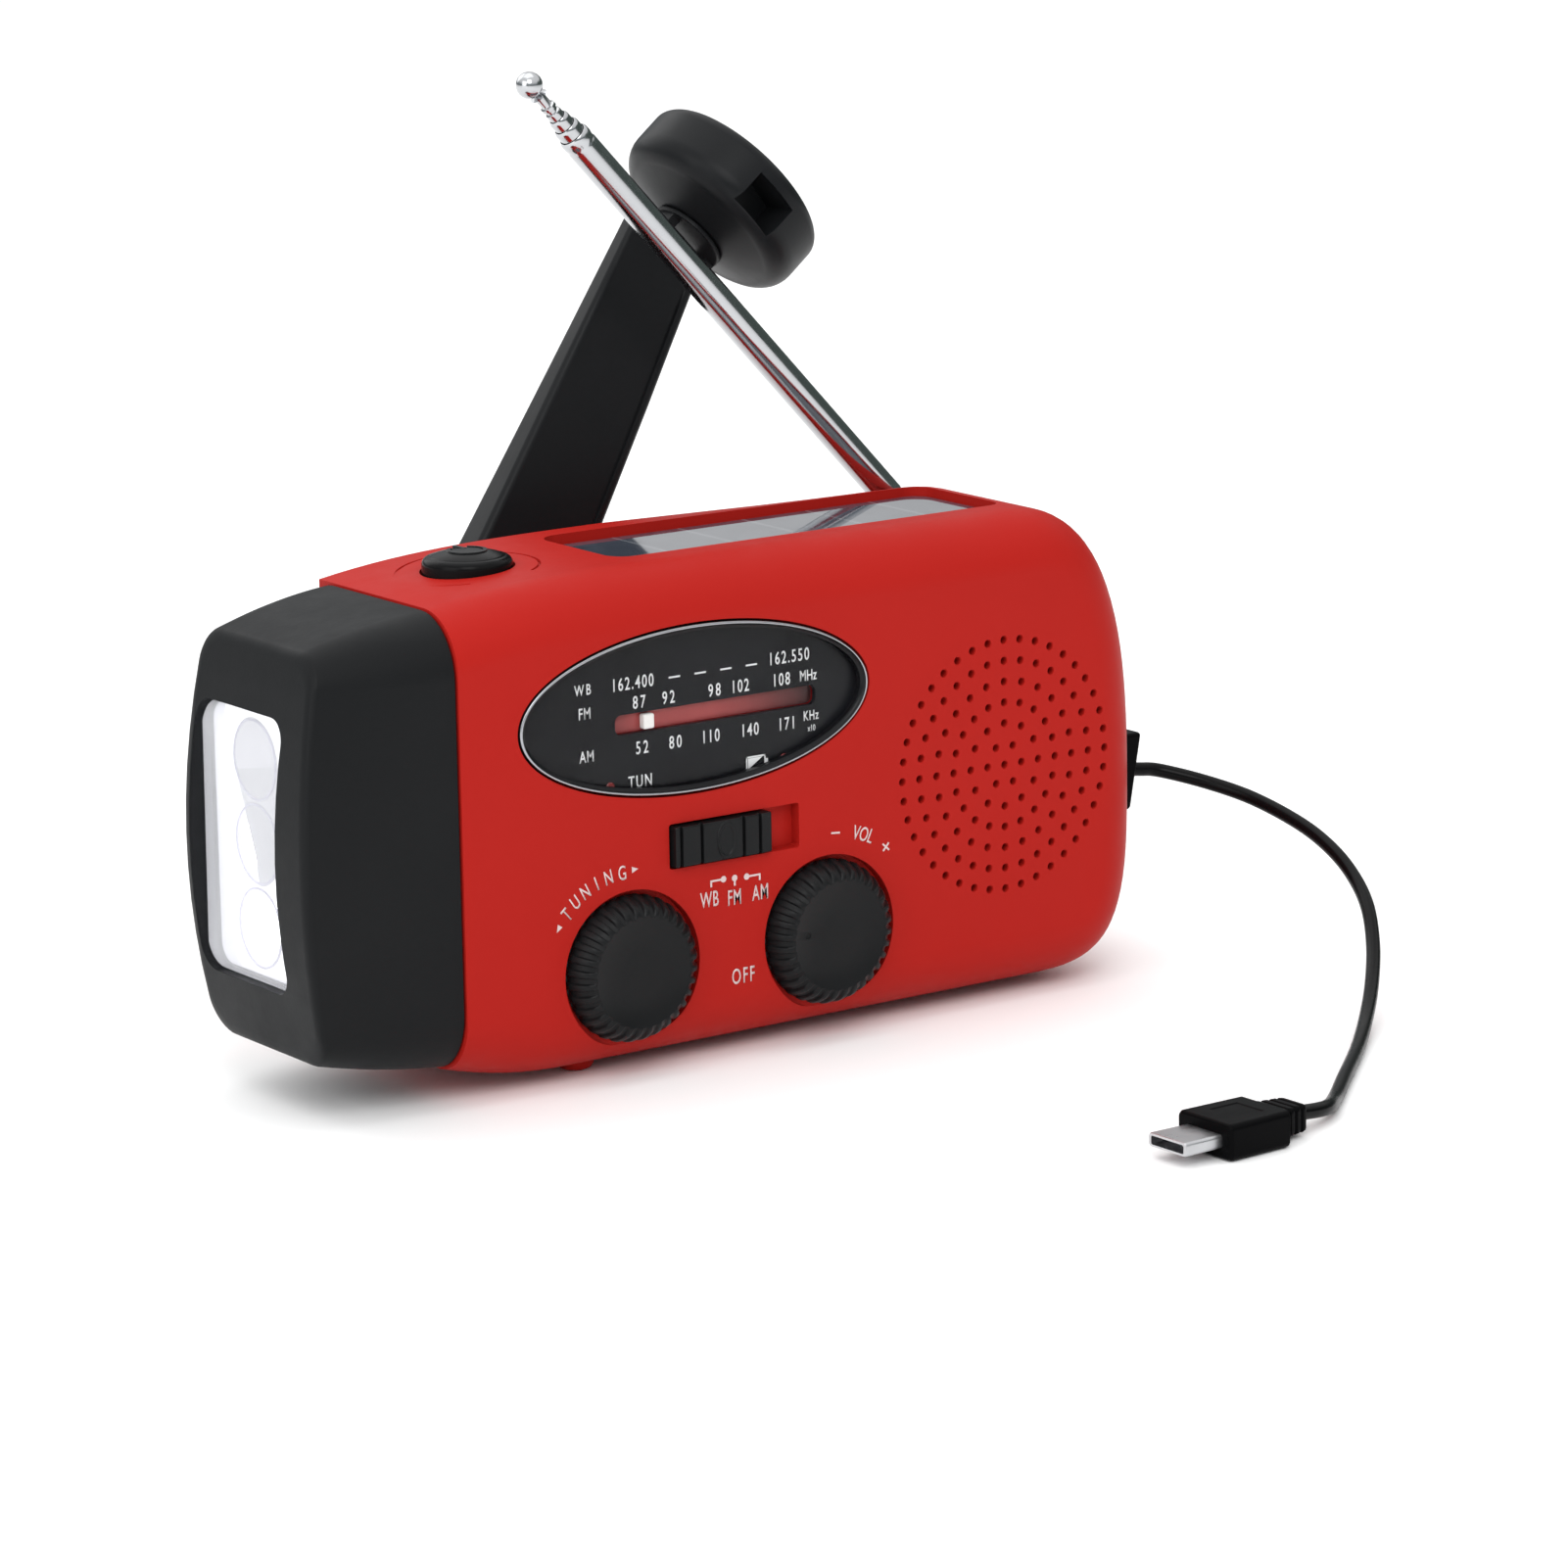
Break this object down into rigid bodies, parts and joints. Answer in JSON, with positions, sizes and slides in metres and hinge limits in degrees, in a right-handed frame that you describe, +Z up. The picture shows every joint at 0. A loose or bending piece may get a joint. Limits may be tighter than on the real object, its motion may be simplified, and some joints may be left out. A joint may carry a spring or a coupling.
{
  "type": "hand-crank emergency radio",
  "caption": "Hand-crank emergency radio with solar panel, flashlight end, dial, knobs, speaker grille, telescopic antenna, folding crank and phone charging lead.",
  "frame": {"origin": "centre of the bottom of the object's box without its lead, on the surface that its feet stand on, so the casing's middle is 12 mm in front of it and the crank's knob is at the back", "axes": "+X to the right as seen from the dial side, towards the speaker; +Y from the dial to the crank; +Z up"},
  "size_m": [0.1515, 0.1386, 0.1228],
  "materials": {
    "red_abs": "satin, lightly textured",
    "black_abs": "matt, lightly textured",
    "black_rubber": "satin",
    "chrome": "polished",
    "steel": "zinc plated",
    "brass": "machined",
    "clear_pc": "clear, glossy",
    "silvered_abs": "mirror",
    "led_resin": "clear, glossy",
    "dial_black": "printed, glossy",
    "white_abs": "satin",
    "solar_cell": "glossy, epoxy covered",
    "green_board": "solder mask",
    "acetal": "moulded",
    "copper": "enamelled wire",
    "ferrite": "matt",
    "cone_paper": "matt",
    "cell_wrap": "satin"
  },
  "bodies": {
    "casing": {"front_cover": "red_abs", "rear_cover": "red_abs", "cover_screw_1": "steel", "cover_screw_2": "steel", "cover_screw_3": "steel", "cover_screw_4": "steel", "flashlight_head": "black_abs", "torch_lens": "clear_pc", "reflector": "silvered_abs", "led_1": "led_resin", "led_2": "led_resin", "led_3": "led_resin", "led_board": "green_board", "dial_rim": "chrome", "dial_plate": "dial_black", "dial_window": "clear_pc", "tuning_capacitor": "white_abs", "volume_pot": "steel", "band_switch": "steel", "button_switch": "ferrite", "solar_panel": "solar_cell", "antenna_screw": "steel", "crank_bushing": "brass", "idler_shaft": "steel", "rotor_shaft": "steel", "dynamo_stator": "copper", "gearbox_plate": "steel", "speaker_frame": "steel", "speaker_cone": "cone_paper", "speaker_magnet": "ferrite", "circuit_board": "green_board", "battery": "cell_wrap", "ferrite_rod": "ferrite", "antenna_coil": "copper", "usb_socket": "ferrite", "usb_plug": "black_rubber", "usb_cable": "black_rubber", "phone_connector": "black_rubber"},
    "crank": {"crank_arm": "black_abs", "crank_shaft": "steel", "crank_gear": "acetal", "fold_pin": "steel"},
    "fold_yoke": {"knob_yoke": "black_abs"},
    "crank_handle": {"crank_knob": "black_abs"},
    "idler": {"idler_gear": "acetal"},
    "rotor": {"dynamo_rotor": "acetal"},
    "antenna_base": {"antenna_hinge": "chrome", "antenna_tube_1": "chrome"},
    "antenna_stage_2": {"antenna_tube_2": "chrome"},
    "antenna_stage_3": {"antenna_tube_3": "chrome"},
    "antenna_stage_4": {"antenna_tip": "chrome"},
    "tuning": {"tuning_knob": "black_abs"},
    "pointer": {"tuning_pointer": "white_abs"},
    "volume": {"volume_knob": "black_abs"},
    "band": {"band_slider": "black_abs"},
    "light": {"light_button": "black_abs"}
  },
  "joints": [
    {"name": "crank_turn", "type": "hinge", "parent": "casing", "child": "crank", "pos_m": [-0.02285, 0.00952, 0.0326], "axis": [0, 1, 0], "continuous": true},
    {"name": "knob_fold", "type": "hinge", "parent": "crank", "child": "fold_yoke", "pos_m": [0.0241, 0.01942, 0.09564], "axis": [-0.6327, 0, 0.7744], "range_deg": [0, 90]},
    {"name": "knob_spin", "type": "hinge", "parent": "fold_yoke", "child": "crank_handle", "pos_m": [0.03262, 0.01942, 0.1026], "axis": [0.7744, 0, 0.6327], "continuous": true},
    {"name": "idler_turn", "type": "hinge", "parent": "casing", "child": "idler", "pos_m": [-0.00932, -0.01048, 0.03753], "axis": [0, 1, 0], "continuous": true},
    {"name": "rotor_turn", "type": "hinge", "parent": "casing", "child": "rotor", "pos_m": [0.00421, -0.01248, 0.0326], "axis": [0, 1, 0], "continuous": true},
    {"name": "antenna_swing", "type": "hinge", "parent": "casing", "child": "antenna_base", "pos_m": [0.0525, 0.00432, 0.0568], "axis": [0, 1, 0], "range_deg": [-46.7, 120]},
    {"name": "antenna_slide_2", "type": "slide", "parent": "antenna_base", "child": "antenna_stage_2", "axis": [-0.6858, 0, 0.7278], "range_m": [0, 0.06]},
    {"name": "antenna_slide_3", "type": "slide", "parent": "antenna_stage_2", "child": "antenna_stage_3", "axis": [-0.6858, 0, 0.7278], "range_m": [0, 0.06]},
    {"name": "antenna_slide_4", "type": "slide", "parent": "antenna_stage_3", "child": "antenna_stage_4", "axis": [-0.6858, 0, 0.7278], "range_m": [0, 0.06]},
    {"name": "tuning_turn", "type": "hinge", "parent": "casing", "child": "tuning", "pos_m": [-0.01815, -0.03048, 0.0142], "axis": [0, 1, 0], "range_deg": [-24, 165]},
    {"name": "pointer_slide", "type": "slide", "parent": "casing", "child": "pointer", "axis": [1, 0, 0], "range_m": [-0.0034, 0.0231]},
    {"name": "volume_turn", "type": "hinge", "parent": "casing", "child": "volume", "pos_m": [0.01205, -0.03048, 0.0142], "axis": [0, 1, 0], "range_deg": [0, 300]},
    {"name": "band_slide", "type": "slide", "parent": "casing", "child": "band", "axis": [1, 0, 0], "range_m": [0, 0.0045]},
    {"name": "light_press", "type": "slide", "parent": "casing", "child": "light", "axis": [0, 0, -1], "range_m": [0, 0.0015], "stiffness_N_per_m": 600, "springref_m": -0.0003}
  ],
  "couplings": [
    {"joint": "idler_turn", "follows": "crank_turn", "ratio": -3},
    {"joint": "rotor_turn", "follows": "crank_turn", "ratio": 9},
    {"joint": "pointer_slide", "follows": "tuning_turn", "m_per_rad": 0.008}
  ]
}
